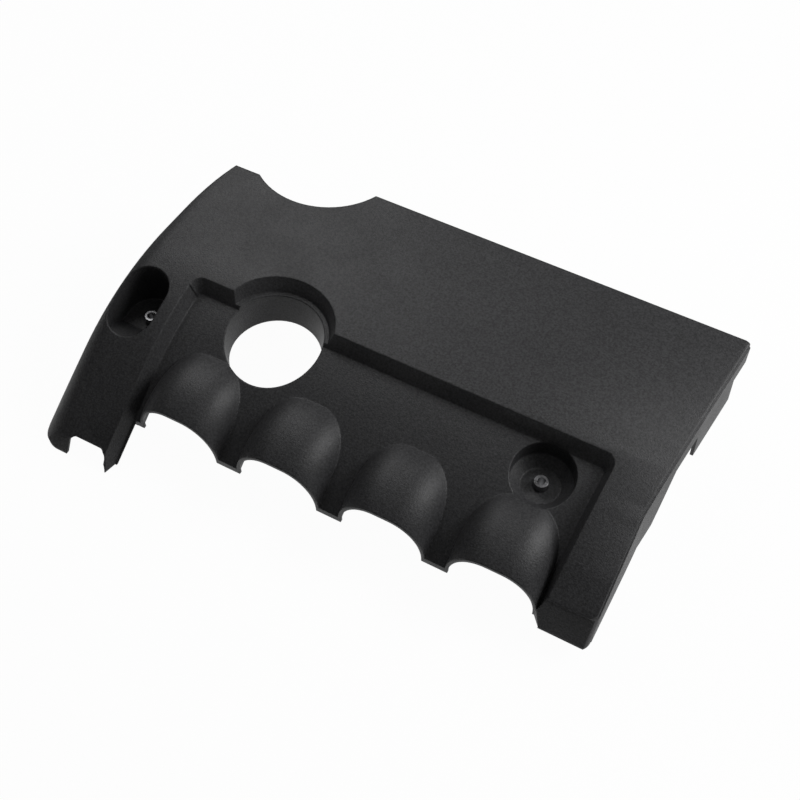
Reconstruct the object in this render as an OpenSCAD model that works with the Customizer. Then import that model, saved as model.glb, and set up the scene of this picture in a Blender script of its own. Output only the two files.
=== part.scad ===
// Engine top cover with four runner tunnels.
// A moulded panel with its recess, wells and tunnels, and two steel sleeves.
// Millimetres. While it is drawn, X runs along the engine from the first tunnel,
// the straight rear edge is Y = 0, the front is -Y and the flat top is Z = 0.

/* [Panel] */
// Wall thickness of the moulding
wall = 2.5; // [2:0.1:3.2]
// Rear edge, from the last tunnel to the right corner
right_reach = 97.5; // [92:0.5:104]
// Left side, from the first tunnel to where it turns
left_reach = 94.3; // [92:0.5:98]
// Depth of the flat top before it bends down
flat_run = 112; // [106:1:118]
// Radius of the bend at the front of the flat top
bend_r = 220; // [205:5:235]
// Slope of the front below the bend, in degrees
slope = 31; // [29:0.5:33]
// Height of the plain skirt
skirt = 18; // [16:1:22]
// Reach of the arm and the block in front of the tunnel mouths
arm_reach = 33.5; // [31:0.5:36]
// Drop from the flat top to the lowest foot
foot_drop = 80; // [78:0.5:84]

/* [Tunnels] */
// Spacing of the runner tunnels
pitch = 88; // [86:0.5:89]
// Half width of a tunnel, outside
tunnel_half = 36; // [33:0.5:37]
// Radius of a tunnel's ridge, seen from the side
ridge_r = 68; // [66:0.5:70]
// Radius of a tunnel's shoulders
shoulder_r = 30; // [24:1:32]
// Tunnel mouths, from the rear edge
mouth_run = 250; // [247:1:252]

/* [Recess] */
// Depth of the recess below the top
recess = 12; // [10:0.5:13]
// Draft of the recess walls, in degrees
draft = 25; // [18:1:28]
// Rear wall of the recess, from the rear edge
step_run = 141; // [137:1:145]
// Corner radius of the recess
corner_r = 10; // [8:0.5:12]

/* [Filler opening] */
// Radius at the rim
filler_r = 39.5; // [37:0.5:41]
// Radius of the raised collar wall around it
collar_r = 49; // [47:0.5:51]
// Drop from the flat top to its lower edge
filler_drop = 40; // [36:1:44]

/* [Fixing wells] */
// Rim radius of the round well
well_r = 24.5; // [23:0.5:26]
// Floor radius of the round well
floor_r = 15; // [14:0.5:17]
// Drop from the flat top to its floor
well_drop = 36; // [34:0.5:40]
// Half width of the long well
slot_r = 20; // [19:0.5:20.5]
// Drop from the flat top to the long well's floor
slot_drop = 44; // [42:0.5:48]
// Bore of the steel sleeves, for a 6 mm bolt
bore_d = 6.6; // [6.2:0.1:7]
// Outside diameter of the steel sleeves
sleeve_d = 10.5; // [10:0.1:11.5]
// Length of the steel sleeves
sleeve_l = 24; // [20:0.5:28]
// Height of a sleeve above its well's floor
proud = 7; // [5:0.5:9]
// Gap between a sleeve and its boss
fit = 0.05; // [0.02:0.01:0.1]

/* [Edges] */
// Radius of the rounded top edge on the right
edge_r = 1.5; // [1:0.1:2]
// Depth of the groove line under that edge
groove = 2.6; // [2.3:0.1:3]
// Ledge from the groove line to the skirt
lip = 1.2; // [0.8:0.1:1.6]
// Draft of the right skirt, in degrees
skirt_draft = 5; // [3:0.5:6]
// Radius of the roll down the left flank
flank_r = 28; // [24:1:32]
// Steepness of the front faces, in degrees
face = 57; // [54:0.5:60]

/* [Ribs] */
// Height of the ribs under the top
rib_h = 8; // [6:0.5:10]
// Thickness of the ribs
rib_t = 1.8; // [1.5:0.1:2.2]

/* [Hidden] */
$fn = 96;
far = 150;
tunnels = 4;
last = (tunnels - 1) * pitch;
mouth_y = -mouth_run;
y_bend = -flat_run;
y_run = y_bend - bend_r * sin(slope);
// the front runs on from the bend in a very flat arc
front_r = 8000;
front_c = [y_bend + (front_r - bend_r) * sin(slope), -bend_r - (front_r - bend_r) * cos(slope)];
arm_y = mouth_y - arm_reach;
// right edge: slanted at the rear, straight at the front
right_x = last + right_reach;
right_turn = -172;
right_lean = 7.1;
front_x = right_x + right_turn * tan(right_lean);
// recess walls at the top, on the left and the right
wall_left = -47;
wall_right = last + 40.5;
wall_lean = 2.9;
wall_y = mouth_y + 14;
run = recess * tan(draft);
arm_x = wall_left + run + 1.5;
block_x = wall_right - run;
crease_y = mouth_y + 4.5;
foot_z = -66.5;
// filler, wells and sleeves
filler = [33, -158];
well = [last + 1, -169.5];
slot = [-78, -169];
slot_len = 19;
bolt_left = [-75.5, -171.5];
boss_r = sleeve_d / 2 + 3.2;
// a rounding stands this far past its tangent, so that it crosses the flats
soft = 0.08;
// left side: a large arc, then a straight line that leans out
side_r = 260;
side_lean = 3.8;
side_y = -85;
side_c = [side_r * cos(side_lean) - left_reach, side_y - side_r * sin(side_lean)];
// rear notch
notch = [-20.7, 27.7];
notch_r = 65.2;
left_rear = -24.5;
// tunnel ridge arc, seen from the side
ridge = [mouth_y + 32, -88];
// front corner of the arm, where the outline is widest and longest
front_y = arm_y - (foot_drop + top_z(arm_y)) / tan(face);
arm_corner_r = 13;
left_x = -left_reach + (front_y + arm_corner_r - side_y) * tan(side_lean);
// reach of the leaning skirt past the rear right corner
skirt_out = 1.9;
// middle of the outline, at the height of the lowest foot
home = [(right_x + skirt_out + left_x) / 2, front_y / 2, -foot_drop];

// height of the top surface at a place in depth
function top_z(y) = y > y_bend ? 0
    : y > y_run ? sqrt(pow(bend_r, 2) - pow(y_bend - y, 2)) - bend_r
    : sqrt(pow(front_r, 2) - pow(front_c[0] - y, 2)) + front_c[1];

// one arc of the sweep. Its middle is placed in two steps, a rounded one and the
// rest, because a place is kept to six digits and two arcs have to meet
module arc(mid, r, from, angle) {
    near = [0, round(mid[0] * 10) / 10, round(mid[1] * 10) / 10];
    translate(near) translate([0, mid[0], mid[1]] - near) rotate(180, [1, 0, 1])
        rotate_extrude(start = from, angle = angle) translate([r, 0]) mirror([1, -1])
            children();
}

// carries a section (X, height over the top surface) from the rear to the front
module swept() {
    translate([0, 5, 0]) rotate([90, 0, 0])
        linear_extrude(flat_run + 5) children();
    arc([y_bend, -bend_r], bend_r, 0, slope) children();
    arc(front_c, front_r, slope, 1.2) children();
}

// a sweep turned in plan about one point
module leaning(x, y, a) {
    translate([x, y, 0]) rotate([0, 0, -a]) translate([-x, -y, 0]) swept() children();
}

// a side profile (Y, Z) drawn out along X
module along_x(x0, x1) {
    translate([x0, 0, 0]) rotate([90, 0, 90]) linear_extrude(x1 - x0) children();
}

// top of the section: flat, with the left flank rolled down
module crown(g) {
    x0 = -84.5;
    translate([x0, -far]) square([right_x + far, far - g]);
    translate([x0, -flank_r]) circle(flank_r - g);
    translate([x0 - flank_r + g, -far]) square([flank_r, far - flank_r]);
}

// right edge of the section: rounded edge, groove line, ledge and leaning skirt
module right_edge(x, g) {
    h = far / 2;
    mid = soft - edge_r;
    polygon([[-far, 20], [x - edge_r - g, 20], [x - edge_r - g, mid], [x - g, mid],
        [x - g, -groove], [x + lip - g, -groove - lip / 4],
        [x + lip - g + h * tan(skirt_draft), -groove - h], [-far, -groove - h]]);
    if (g == 0) translate([x - edge_r, mid]) circle(edge_r);
}

module right_side(g) {
    leaning(front_x, right_turn, right_lean) right_edge(front_x, g);
    swept() right_edge(front_x, g);
}

// plan of the panel, without its right edge
module plan(g) {
    difference() {
        intersection() {
            union() {
                translate(side_c) circle(side_r + soft - g, $fn = 200);
                translate([-far, -3 * far]) square([5 * far, 3 * far + side_y]);
            }
            translate([-left_reach, side_y]) rotate(-side_lean)
                translate([g, -2 * far]) square([5 * far, 4 * far]);
            union() {
                translate([notch[0], -3 * far]) square([3 * far, 3 * far - g]);
                translate([-far, -3 * far]) square([5 * far, 3 * far + left_rear - g]);
            }
            rounded([right_x + 2.5, -g], 8 - g, 1, 1);
            rounded([right_x - 15.5, mouth_y - 10], 11 - g, 1, -1);
            rounded([left_x + g, front_y + g], arm_corner_r - g, -1, -1);
        }
        translate(notch) circle(notch_r + g, $fn = 160);
        polygon([[arm_x - g, -3 * far], [arm_x - g, mouth_y + g], [block_x + g, mouth_y + g],
            [block_x + 6 + g, mouth_y - 7 + g], [block_x + 6 + g, -3 * far]]);
    }
}

// the whole plane with one corner rounded, on the side that sx and sy point to
module rounded(corner, r, sx, sy) {
    translate([corner[0] - sx * r, corner[1] - sy * r]) {
        circle(r + soft);
        translate([sx > 0 ? -6 * far : 0, -3 * far]) square([6 * far, 6 * far]);
        translate([-3 * far, sy > 0 ? -6 * far : 0]) square([6 * far, 6 * far]);
    }
}

// cut for the left arm's sloping front face
module arm_face(g) {
    along_x(-far, arm_x + 1) translate([arm_y + g / sin(face), top_z(arm_y)])
        polygon([[20, 20 * tan(face)], [-far, -far * tan(face)], [-far, far], [20, far]]);
}

// cut for the right block's crease and sloping front face
module block_face(g) {
    tilt = asin((front_c[0] - crease_y) / front_r);
    along_x(block_x - 8, right_x + 30) translate([crease_y + 1.2 * g, top_z(crease_y)])
        rotate(tilt) polygon([[0, 20], [0, -groove], [-lip, -groove - lip / 4],
            [-lip - far * cos(face - tilt), -groove - far * sin(face - tilt)], [-far, 20]]);
}

// the recess as a cutter
module recess_cut(g) {
    d = recess + g;
    k = g / cos(draft);
    left = wall_left - k;
    right = wall_right + k;
    back = -step_run + k;
    r = corner_r + g;
    intersection() {
        swept() polygon([[left - far * tan(draft), far], [left + d * tan(draft), -d],
            [right_x, -d], [right_x, far]]);
        leaning(wall_right, wall_y, wall_lean) polygon([[-far, 20], [right + 20 * tan(draft), 20],
            [right - (d + 5) * tan(draft), -d - 5], [-far, -d - 5]]);
        union() {
            intersection() {
                translate([0, back, top_z(-step_run)]) rotate([-draft, 0, 0])
                    translate([-far, -2 * far, -far]) cube([4 * far, 2 * far, 2 * far]);
                round_corner(right - r + (back - wall_y) * tan(wall_lean), back - r, r, 1, d);
                round_corner(left + r, back - r, r, -1, d);
            }
            translate([filler[0], filler[1], -d]) cylinder(h = d + 2,
                r1 = collar_r + k - d * tan(draft), r2 = collar_r + k + 2 * tan(draft));
        }
    }
}

// keeps all but one rear corner of the recess, where a cone rounds it
module round_corner(x, y, r, side, d) {
    translate([x, y, 0]) {
        translate([-3 * far, -3 * far, -2 * far]) cube([6 * far, 3 * far, 3 * far]);
        mirror([side > 0 ? 0 : 1, 0, 0]) translate([-4 * far, -far, -2 * far])
            cube([4 * far, 2 * far, 3 * far]);
        translate([0, 0, top_z(-step_run) - d - 2]) cylinder(h = d + 10,
            r1 = max(0.05, r + soft - (d + 2) * tan(draft)), r2 = r + soft + 8 * tan(draft));
    }
}

// the whole form as one solid, g inside its outer face
module form(g) {
    difference() {
        intersection() {
            swept() crown(g);
            translate([0, 0, -2 * far]) linear_extrude(3 * far) plan(g);
            right_side(g);
        }
        recess_cut(g);
        arm_face(g);
        block_face(g);
    }
}

// what is kept of the walls: the lower edge of each skirt
module above_hem() {
    intersection() {
        hem();
        union() {
            translate([-2 * far, -3 * far, -foot_drop]) cube([2 * far + arm_x, 4 * far, far]);
            translate([arm_x, -3 * far, foot_z]) cube([4 * far, 4 * far, far]);
        }
    }
}

module hem() {
    swept() translate([-far, -skirt]) square([4 * far, skirt + 20]);
    // left flank and arm
    along_x(-far, -60) polygon([[5, -skirt], [-130, -24], [-200, -50], [-262, -foot_drop],
        [-2 * far, -foot_drop], [-2 * far, 20], [5, 20]]);
    along_x(-61, arm_x + 8) polygon([[-250, -foot_drop], [-2 * far, -foot_drop],
        [-2 * far, 0], [-250, 0]]);
    // feet between the tunnel mouths
    along_x(arm_x, block_x + 8) polygon([[mouth_y + 4, foot_z], [-2 * far, foot_z],
        [-2 * far, 0], [mouth_y + 4, 0]]);
    // right skirt: tab at the rear, deep part at the front
    along_x(block_x, right_x + 30) polygon([[-26, 0], [-26, -42], [-88, -42], [-88, -16],
        [-122, -18], [-152, -52], [mouth_y + 4, foot_z], [-2 * far, foot_z], [-2 * far, 0]]);
}

// half outline of a tunnel round its ridge axis, g inside the outer face
module tunnel_section(g) {
    r = shoulder_r - g;
    half = tunnel_half - shoulder_r;
    intersection() {
        union() {
            translate([0, -half]) square([ridge_r - g, 2 * half]);
            for (s = [-1, 1]) translate([ridge_r - shoulder_r, s * half]) circle(r);
            translate([0, -tunnel_half + g])
                square([ridge_r - shoulder_r, 2 * (tunnel_half - g)]);
        }
        translate([0, -far]) square([far, 2 * far]);
    }
}

module tunnel(g) {
    translate([0, ridge[0], ridge[1]]) rotate([0, 90, 0]) rotate_extrude() tunnel_section(g);
}

module each_tunnel() {
    for (i = [0 : tunnels - 1]) translate([i * pitch, 0, 0]) children();
}

// long well: two round ends and a ramp at the front
module long_well(g) {
    intersection() {
        translate([0, 0, -slot_drop - g]) linear_extrude(far) {
            for (y = [0, -slot_len]) translate([slot[0], slot[1] + y]) circle(slot_r + g);
            translate([slot[0] - slot_r - g, slot[1] - slot_len])
                square([2 * (slot_r + g), slot_len]);
        }
        along_x(-far, 0) polygon([[slot[1] + 60, -slot_drop - g], [slot[1] - 14, -slot_drop - g],
            [slot[1] - 60, -slot_drop - g + 46 * tan(36)], [slot[1] - 60, far],
            [slot[1] + 60, far]]);
    }
}

// round well: a funnel with a flat floor
module round_well(g) {
    bowl = 8;
    translate([well[0], well[1], -well_drop - g]) {
        cylinder(h = bowl + g, r1 = floor_r + g, r2 = well_r - 1 + g);
        translate([0, 0, bowl + g]) cylinder(h = 10, r1 = well_r - 1 + g, r2 = well_r + g);
        translate([0, 0, bowl + g + 10]) cylinder(h = 20, r = well_r + g);
    }
}

module filler_tube(g) {
    translate([filler[0], filler[1], -filler_drop])
        cylinder(h = filler_drop, r1 = filler_r - 3 + g, r2 = filler_r + 1.5 + g);
}

module boss(p, floor_z) {
    translate([p[0], p[1], floor_z - sleeve_l + proud + 1])
        cylinder(h = sleeve_l - proud, r = boss_r);
}

module bore(p, r) {
    translate([p[0], p[1], -far]) cylinder(h = far, r = r);
}

// ribs under the flat top, clear of the wells
module ribs() {
    for (x = [pitch, 2 * pitch, last]) translate([x - rib_t / 2, -step_run + 4, -wall - rib_h])
        cube([rib_t, step_run - 5, rib_h + wall / 2]);
    for (y = [-48, -94]) translate([40, y - rib_t / 2, -wall - rib_h])
        cube([right_x - 50, rib_t, rib_h + wall / 2]);
}

module cover() color([0.16, 0.16, 0.17]) {
    difference() {
        union() {
            difference() {
                union() {
                    intersection() {
                        difference() { form(0); form(wall); }
                        above_hem();
                    }
                    difference() {
                        intersection() {
                            each_tunnel() tunnel(0);
                            along_x(-tunnel_half - 1, last + tunnel_half + 1)
                                polygon([[mouth_y, foot_z], [0, foot_z], [0, 0], [mouth_y, 0]]);
                        }
                        form(wall / 2);
                    }
                }
                intersection() {
                    each_tunnel() tunnel(wall);
                    union() {
                        swept() translate([-far, -recess - wall - 0.1]) square([4 * far, far]);
                        translate([-far, mouth_y - 5, -far]) cube([4 * far, 5 + wall + 0.5, far]);
                    }
                }
            }
            intersection() {
                union() {
                    filler_tube(wall);
                    round_well(wall);
                    long_well(wall);
                    boss(well, -well_drop);
                    boss(bolt_left, -slot_drop);
                    ribs();
                }
                union() {
                    form(wall / 2);
                    tunnel(wall / 2);
                }
            }
        }
        filler_tube(0);
        round_well(0);
        long_well(0);
        bore(well, sleeve_d / 2 + fit);
        bore(bolt_left, sleeve_d / 2 + fit);
        translate([filler[0], filler[1], -filler_drop - 1]) cylinder(h = 2, r = filler_r - 3);
        // arch in the front of the left arm
        translate([-61, arm_y + 4, -foot_drop - 4]) rotate([90, 0, 0]) cylinder(h = 60, r = 17);
    }
}

module sleeve(p, floor_z) color([0.75, 0.75, 0.76])
    translate([p[0], p[1], floor_z + proud - sleeve_l]) difference() {
        cylinder(h = sleeve_l, r = sleeve_d / 2);
        translate([0, 0, -1]) cylinder(h = sleeve_l + 2, r = bore_d / 2);
    }

translate(-home) {
    cover();
    sleeve(bolt_left, -slot_drop);  // sleeve_left
    sleeve(well, -well_drop);  // sleeve_right
}
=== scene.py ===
# Engine cover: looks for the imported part.
# Metres, in the part's own frame: +X towards the plain end, +Y towards the straight
# rear edge, +Z up, with the feet at Z = 0.
import math

import bmesh
import bpy
from mathutils import Matrix, Vector

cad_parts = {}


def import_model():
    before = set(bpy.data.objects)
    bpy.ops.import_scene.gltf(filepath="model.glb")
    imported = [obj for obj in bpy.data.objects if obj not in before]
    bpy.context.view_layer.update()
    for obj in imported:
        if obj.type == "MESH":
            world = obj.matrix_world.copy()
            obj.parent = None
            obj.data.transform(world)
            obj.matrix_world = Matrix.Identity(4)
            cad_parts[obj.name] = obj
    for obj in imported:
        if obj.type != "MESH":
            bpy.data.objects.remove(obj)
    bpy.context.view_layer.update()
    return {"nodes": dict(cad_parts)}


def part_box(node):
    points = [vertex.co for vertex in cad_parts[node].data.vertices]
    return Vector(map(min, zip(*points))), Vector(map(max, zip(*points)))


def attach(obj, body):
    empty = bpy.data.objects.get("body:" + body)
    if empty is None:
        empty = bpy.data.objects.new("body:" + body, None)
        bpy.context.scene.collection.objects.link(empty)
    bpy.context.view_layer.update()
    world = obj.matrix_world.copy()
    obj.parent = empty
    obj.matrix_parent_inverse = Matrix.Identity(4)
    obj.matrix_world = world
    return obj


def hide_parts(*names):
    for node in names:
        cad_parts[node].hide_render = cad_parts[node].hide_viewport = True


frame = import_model()

# Camera of the photograph: degrees, metres, and millimetres for its lens and sensor
CAMERA_TURN = 26.2
CAMERA_RISE = 55.88
CAMERA_ROLL = 1.59
CAMERA_DISTANCE = 0.786
CAMERA_AIM = Vector((0.0225, -0.0263, 0.080))
CAMERA_LENS = 48.7
CAMERA_SENSOR = 36
CAMERA_NEAR = 0.01

# Rays that the soft edges' node sends out
EDGE_SAMPLES = 8

# Black plastic: two tones, roughness, moulded grain and the softness of its edges.
# Noise scales are per metre.
PLASTIC_DARK = (0.018, 0.018, 0.019)
PLASTIC_LIGHT = (0.044, 0.044, 0.046)
PLASTIC_ROUGHNESS = (0.46, 0.56)
PLASTIC_SPECULAR = 0.36
PLASTIC_EDGE = 0.0018
SPECKLE_SCALE = 620
SPECKLE_RANGE = (0.34, 0.66)
CLOUD_SCALE = 22
CLOUD_RANGE = (0.3, 0.7)
GRAIN_SCALE = 900
GRAIN_STRENGTH = 0.6
GRAIN_HEIGHT = 0.0004

# Zinc plated steel
STEEL_DARK = (0.2, 0.2, 0.205)
STEEL_LIGHT = (0.34, 0.34, 0.35)
STEEL_ROUGHNESS = (0.25, 0.42)
STEEL_EDGE = 0.0004
STAIN_SCALE = 160
STAIN_RANGE = (0.3, 0.7)
PLATING_SCALE = 2400
PLATING_STRENGTH = 0.15
PLATING_HEIGHT = 0.00005

# Arch in the front of the left arm, from the cover's left front corner
ARCH_LEFT = 0.0267
ARCH_WIDTH = 0.0338
ARCH_DEPTH = 0.0126
ARCH_HEIGHT = 0.0145
ARCH_CORNER = 0.006
ARCH_CORNER_STEPS = 10
# an edge along Y keeps its X to within this
SAME_X = 1e-6
# Right wall of the arm: its outer face, and its lower edge from the tunnel mouths'
# plane forward
ARM_WALL_X = -0.1679
ARM_WALL_THICK = 0.0036
MOUTH_Y = -0.1038
ARM_WALL_FOOT = 0.0183
FRONT_SLOPE = math.radians(31)
# Radius of the arm's upright corner, with its cutter's reach below and above Z = 0
ARM_CORNER = 0.018
ARM_CORNER_SPAN = (0.01, 0.05)
# Radius of the block's leaning corner, the reach of its cutter below and above a point
# on its axis, and that point
BLOCK_CORNER = 0.0086
BLOCK_CORNER_SPAN = (0.03, 0.02)
BLOCK_CORNER_AXIS = Vector((0.2055, -0.0939, 0.0291))
BLOCK_CORNER_LEAN = math.radians(-33)
CORNER_STEPS = 144
# How far the cutters run past the faces that they open
ARCH_PAST = 0.03
WALL_PAST = 0.06
WALL_BELOW = 0.05

MERGE_DISTANCE = 2e-6
SMOOTH_ANGLE = math.radians(30)

FLOOR_HALF = 3.0
FLOOR_DROP = 0.0005
FLOOR_COLOUR = (0.8, 0.8, 0.8, 1)
# Share of the floor's white that doesn't depend on the lamps
FLOOR_PLAIN = 0.97

# Strength of the world as a light, and as the camera sees it
WORLD_LIGHT = 0.02
WORLD_WHITE = 1.0

# Lamps: degrees from +X towards +Y, degrees up, metres away, metres wide, watts
LAMPS = {
    "key": (30, 35, 1.3, 0.55, 11.5),
    "side": (5, 60, 1.3, 0.55, 1.4),
    "rear_left": (134, 48, 1.15, 0.6, 4.4),
    "front_fill": (235, 60, 1.3, 0.8, 0.8),
}
LAMP_AIM = Vector((0, 0, 0.05))


def camera():
    """The photograph's camera, turned about the aim point and rolled a little."""
    turn = math.radians(CAMERA_TURN)
    rise = math.radians(CAMERA_RISE)
    roll = math.radians(CAMERA_ROLL)
    back = Vector((math.sin(turn) * math.cos(rise), -math.cos(turn) * math.cos(rise),
                   math.sin(rise)))
    right = Vector((math.cos(turn), math.sin(turn), 0))
    up = back.cross(right)
    right, up = (right * math.cos(roll) + up * math.sin(roll),
                 up * math.cos(roll) - right * math.sin(roll))
    data = bpy.data.cameras.new("camera")
    data.lens = CAMERA_LENS
    data.sensor_width = CAMERA_SENSOR
    data.clip_start = CAMERA_NEAR
    obj = bpy.data.objects.new("camera", data)
    bpy.context.collection.objects.link(obj)
    turned = Matrix((right, up, back)).transposed()
    obj.matrix_world = (Matrix.Translation(CAMERA_AIM + back * CAMERA_DISTANCE)
                        @ turned.to_4x4())
    bpy.context.scene.camera = obj


def material(name):
    """An empty node material, its node tree and its output node."""
    made = bpy.data.materials.new(name)
    made.use_nodes = True
    tree = made.node_tree
    tree.nodes.clear()
    output = tree.nodes.new("ShaderNodeOutputMaterial")
    return made, tree, output


def object_place(tree):
    """Object coordinates, which stay with the piece."""
    return tree.nodes.new("ShaderNodeTexCoord").outputs["Object"]


def noise(tree, place, scale, detail=2.0, roughness=0.5):
    """Noise from 0 to 1 at a scale per metre."""
    node = tree.nodes.new("ShaderNodeTexNoise")
    node.inputs["Scale"].default_value = scale
    node.inputs["Detail"].default_value = detail
    node.inputs["Roughness"].default_value = roughness
    tree.links.new(place, node.inputs["Vector"])
    return node.outputs["Fac"]


def spread(tree, value, low, high, out_low, out_high):
    """The value's range low to high, spread over out_low to out_high."""
    node = tree.nodes.new("ShaderNodeMapRange")
    node.inputs["From Min"].default_value = low
    node.inputs["From Max"].default_value = high
    node.inputs["To Min"].default_value = out_low
    node.inputs["To Max"].default_value = out_high
    tree.links.new(value, node.inputs["Value"])
    return node.outputs["Result"]


def blend_colours(tree, share, first, second):
    """The first colour where the share is 0, and the second where it is 1."""
    node = tree.nodes.new("ShaderNodeMix")
    node.data_type = "RGBA"
    tree.links.new(share, node.inputs["Factor"])
    sockets = {socket.identifier: socket for socket in (*node.inputs, *node.outputs)}
    sockets["A_Color"].default_value = (*first, 1)
    sockets["B_Color"].default_value = (*second, 1)
    return sockets["Result_Color"]


def bump(tree, height, strength, distance, normal):
    """The given normals, roughened by a height."""
    node = tree.nodes.new("ShaderNodeBump")
    node.inputs["Strength"].default_value = strength
    node.inputs["Distance"].default_value = distance
    tree.links.new(height, node.inputs["Height"])
    tree.links.new(normal, node.inputs["Normal"])
    return node.outputs["Normal"]


def soft_edges(tree, radius):
    """Normals that round the edges off, as a mould leaves them."""
    node = tree.nodes.new("ShaderNodeBevel")
    node.samples = EDGE_SAMPLES
    node.inputs["Radius"].default_value = radius
    return node.outputs["Normal"]


def cover_plastic():
    """Black moulded plastic with a fine spark-eroded grain."""
    made, tree, output = material("cover_plastic")
    shader = tree.nodes.new("ShaderNodeBsdfPrincipled")
    place = object_place(tree)
    grain = noise(tree, place, GRAIN_SCALE, detail=2.0, roughness=0.6)
    speckle = noise(tree, place, SPECKLE_SCALE, detail=3.0, roughness=0.6)
    cloud = noise(tree, place, CLOUD_SCALE, detail=3.0, roughness=0.55)
    shade = spread(tree, speckle, *SPECKLE_RANGE, 0.0, 1.0)
    tree.links.new(blend_colours(tree, shade, PLASTIC_DARK, PLASTIC_LIGHT),
                   shader.inputs["Base Color"])
    tree.links.new(spread(tree, cloud, *CLOUD_RANGE, *PLASTIC_ROUGHNESS),
                   shader.inputs["Roughness"])
    shader.inputs["Specular IOR Level"].default_value = PLASTIC_SPECULAR
    rounded = soft_edges(tree, PLASTIC_EDGE)
    tree.links.new(bump(tree, grain, GRAIN_STRENGTH, GRAIN_HEIGHT, rounded),
                   shader.inputs["Normal"])
    tree.links.new(shader.outputs["BSDF"], output.inputs["Surface"])
    return made


def sleeve_steel():
    """Zinc plated steel, a little dulled."""
    made, tree, output = material("sleeve_steel")
    shader = tree.nodes.new("ShaderNodeBsdfPrincipled")
    place = object_place(tree)
    stain = noise(tree, place, STAIN_SCALE, detail=3.0, roughness=0.6)
    tree.links.new(blend_colours(tree, stain, STEEL_DARK, STEEL_LIGHT),
                   shader.inputs["Base Color"])
    tree.links.new(spread(tree, stain, *STAIN_RANGE, *STEEL_ROUGHNESS),
                   shader.inputs["Roughness"])
    shader.inputs["Metallic"].default_value = 1.0
    rounded = soft_edges(tree, STEEL_EDGE)
    plating = noise(tree, place, PLATING_SCALE)
    tree.links.new(bump(tree, plating, PLATING_STRENGTH, PLATING_HEIGHT, rounded),
                   shader.inputs["Normal"])
    tree.links.new(shader.outputs["BSDF"], output.inputs["Surface"])
    return made


def seen_directly(tree):
    """1 for what the camera sees, also in a reflection or through glass."""
    rays = tree.nodes.new("ShaderNodeLightPath")
    total = rays.outputs["Is Camera Ray"]
    for name in ("Is Glossy Ray", "Is Transmission Ray"):
        add = tree.nodes.new("ShaderNodeMath")
        add.operation = "MAXIMUM"
        tree.links.new(total, add.inputs[0])
        tree.links.new(rays.outputs[name], add.inputs[1])
        total = add.outputs["Value"]
    return total


def floor():
    """A plain white floor that keeps a little of the object's shadow."""
    bpy.ops.mesh.primitive_plane_add(size=2 * FLOOR_HALF, location=(0, 0, -FLOOR_DROP))
    obj = bpy.context.object
    obj.name = "floor"
    made, tree, output = material("floor_white")
    diffuse = tree.nodes.new("ShaderNodeBsdfDiffuse")
    diffuse.inputs["Color"].default_value = FLOOR_COLOUR
    white = tree.nodes.new("ShaderNodeEmission")
    white.inputs["Strength"].default_value = 1.0
    mix = tree.nodes.new("ShaderNodeMixShader")
    share = tree.nodes.new("ShaderNodeMath")
    share.operation = "MULTIPLY"
    share.inputs[1].default_value = FLOOR_PLAIN
    tree.links.new(seen_directly(tree), share.inputs[0])
    tree.links.new(share.outputs["Value"], mix.inputs["Fac"])
    tree.links.new(diffuse.outputs["BSDF"], mix.inputs[1])
    tree.links.new(white.outputs["Emission"], mix.inputs[2])
    tree.links.new(mix.outputs["Shader"], output.inputs["Surface"])
    obj.data.materials.append(made)


def world():
    """A studio that the camera sees as white and that lights the object faintly."""
    made = bpy.data.worlds.new("studio")
    made.use_nodes = True
    tree = made.node_tree
    background = next(n for n in tree.nodes if n.type == "BACKGROUND")
    strength = tree.nodes.new("ShaderNodeMapRange")
    strength.inputs["To Min"].default_value = WORLD_LIGHT
    strength.inputs["To Max"].default_value = WORLD_WHITE
    rays = tree.nodes.new("ShaderNodeLightPath")
    tree.links.new(rays.outputs["Is Camera Ray"], strength.inputs["Value"])
    tree.links.new(strength.outputs["Result"], background.inputs["Strength"])
    background.inputs["Color"].default_value = (1, 1, 1, 1)
    bpy.context.scene.world = made


def lamp(name, azimuth, rise, distance, size, power):
    """A soft square lamp that looks at the cover's middle."""
    a, e = math.radians(azimuth), math.radians(rise)
    way = Vector((math.cos(a) * math.cos(e), math.sin(a) * math.cos(e), math.sin(e)))
    data = bpy.data.lights.new(name, "AREA")
    data.shape = "SQUARE"
    data.size = size
    data.energy = power
    obj = bpy.data.objects.new(name, data)
    bpy.context.collection.objects.link(obj)
    obj.matrix_world = (Matrix.Translation(LAMP_AIM + way * distance)
                        @ way.to_track_quat("Z", "Y").to_matrix().to_4x4())


def only(obj):
    """Makes the object the only one selected, and the active one."""
    bpy.ops.object.select_all(action="DESELECT")
    obj.select_set(True)
    bpy.context.view_layer.objects.active = obj


def box(low, high):
    """A box between two corners, with its place in its mesh."""
    low, high = Vector(low), Vector(high)
    bpy.ops.mesh.primitive_cube_add(size=1, location=(low + high) / 2)
    obj = bpy.context.object
    obj.scale = high - low
    bpy.ops.object.transform_apply(location=True, rotation=False, scale=True)
    return obj


def cut(obj, cutter):
    """Takes the cutter out of the object, and deletes the cutter."""
    only(obj)
    modifier = obj.modifiers.new("cut", "BOOLEAN")
    modifier.operation = "DIFFERENCE"
    modifier.solver = "EXACT"
    modifier.object = cutter
    bpy.ops.object.modifier_apply(modifier=modifier.name)
    bpy.data.objects.remove(cutter, do_unlink=True)


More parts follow.
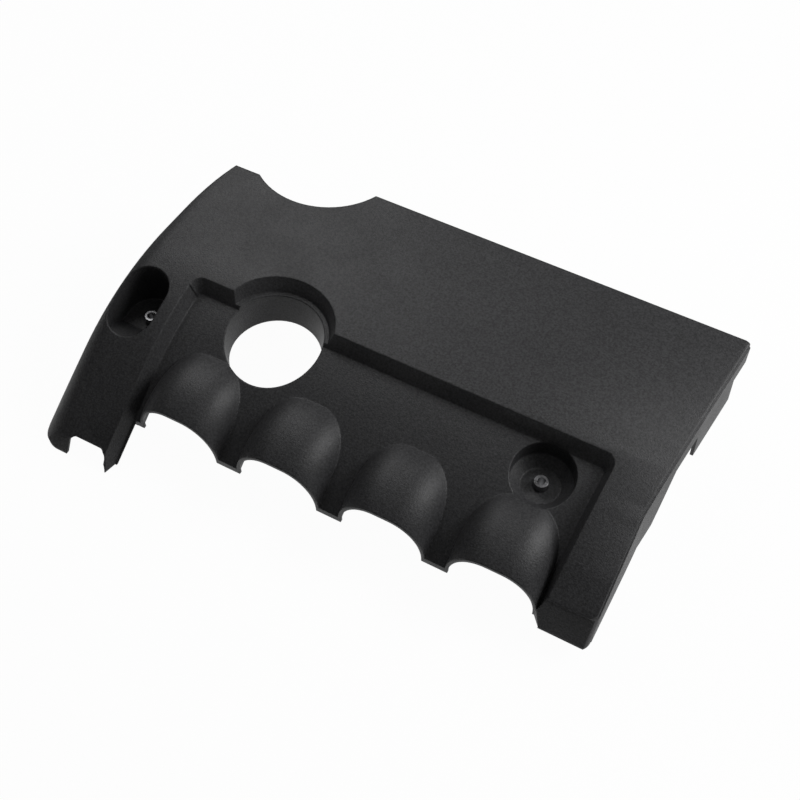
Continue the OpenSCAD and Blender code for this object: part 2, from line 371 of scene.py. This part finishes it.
def arch_cutter(low):
    """A box through the arm's front, with its two upper edges rounded."""
    left = low.x + ARCH_LEFT
    right = left + ARCH_WIDTH
    obj = box((left, low.y - ARCH_PAST, -ARCH_PAST),
              (right, low.y + ARCH_DEPTH, ARCH_HEIGHT))
    only(obj)
    bpy.ops.object.mode_set(mode="EDIT")
    bpy.ops.mesh.select_all(action="DESELECT")
    mesh = bmesh.from_edit_mesh(obj.data)
    for edge in mesh.edges:
        a, b = (v.co for v in edge.verts)
        edge.select = min(a.z, b.z) > 0 and abs(a.x - b.x) < SAME_X
    bmesh.update_edit_mesh(obj.data)
    bpy.ops.mesh.bevel(offset=ARCH_CORNER, segments=ARCH_CORNER_STEPS, affect="EDGES")
    bpy.ops.object.mode_set(mode="OBJECT")
    return obj


def wall_cutter():
    """What lies below the sloping lower edge of the arm's right wall."""
    obj = box((ARM_WALL_X - ARM_WALL_THICK, MOUTH_Y - WALL_PAST, -WALL_BELOW),
              (ARM_WALL_X, MOUTH_Y, ARM_WALL_FOOT))
    for vertex in obj.data.vertices:
        if vertex.co.z > 0 and vertex.co.y < MOUTH_Y - WALL_PAST / 2:
            vertex.co.z -= WALL_PAST * math.tan(FRONT_SLOPE)
    return obj


def corner_cutter(radius, below, above):
    """What lies outside a rounded upright corner, on the side of +X and -Y."""
    obj = box((0, -2 * radius, -below), (2 * radius, 0, above))
    bpy.ops.mesh.primitive_cylinder_add(vertices=CORNER_STEPS, radius=radius,
                                        depth=4 * (below + above))
    cut(obj, bpy.context.object)
    return obj


def moulding():
    """A copy of the cover, with the arm's arch and wall and two corners cut."""
    low = Vector(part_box("cover")[0])
    obj = bpy.data.objects.new("cover_moulding", frame["nodes"]["cover"].data.copy())
    bpy.context.collection.objects.link(obj)
    only(obj)
    bpy.ops.object.mode_set(mode="EDIT")
    bpy.ops.mesh.select_all(action="SELECT")
    bpy.ops.mesh.remove_doubles(threshold=MERGE_DISTANCE)
    bpy.ops.mesh.customdata_custom_splitnormals_clear()
    bpy.ops.object.mode_set(mode="OBJECT")

    cut(obj, arch_cutter(low))
    cut(obj, wall_cutter())
    # the arm's corner is on the side of -X, a quarter turn from the cutter's own
    corner = corner_cutter(ARM_CORNER, *ARM_CORNER_SPAN)
    corner.data.transform(
        Matrix.Translation((low.x + ARM_CORNER, low.y + ARM_CORNER, 0))
        @ Matrix.Rotation(math.radians(-90), 4, "Z"))
    cut(obj, corner)
    corner = corner_cutter(BLOCK_CORNER, *BLOCK_CORNER_SPAN)
    corner.data.transform(Matrix.Translation(BLOCK_CORNER_AXIS)
                          @ Matrix.Rotation(BLOCK_CORNER_LEAN, 4, "X"))
    cut(obj, corner)
    only(obj)
    bpy.ops.object.shade_smooth_by_angle(angle=SMOOTH_ANGLE)
    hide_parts("cover")
    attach(obj, "root")
    return obj


def dress(pieces):
    """Gives each piece its material."""
    for piece, finish in pieces:
        piece.data.materials.clear()
        piece.data.materials.append(finish)


camera()
bpy.ops.object.select_all(action="DESELECT")
plastic, steel = cover_plastic(), sleeve_steel()
dress([(moulding(), plastic), (frame["nodes"]["cover"], plastic),
       (frame["nodes"]["sleeve_left"], steel), (frame["nodes"]["sleeve_right"], steel)])
floor()
world()
for lamp_name, setting in LAMPS.items():
    lamp(lamp_name, *setting)
bpy.context.scene.view_settings.view_transform = "Standard"
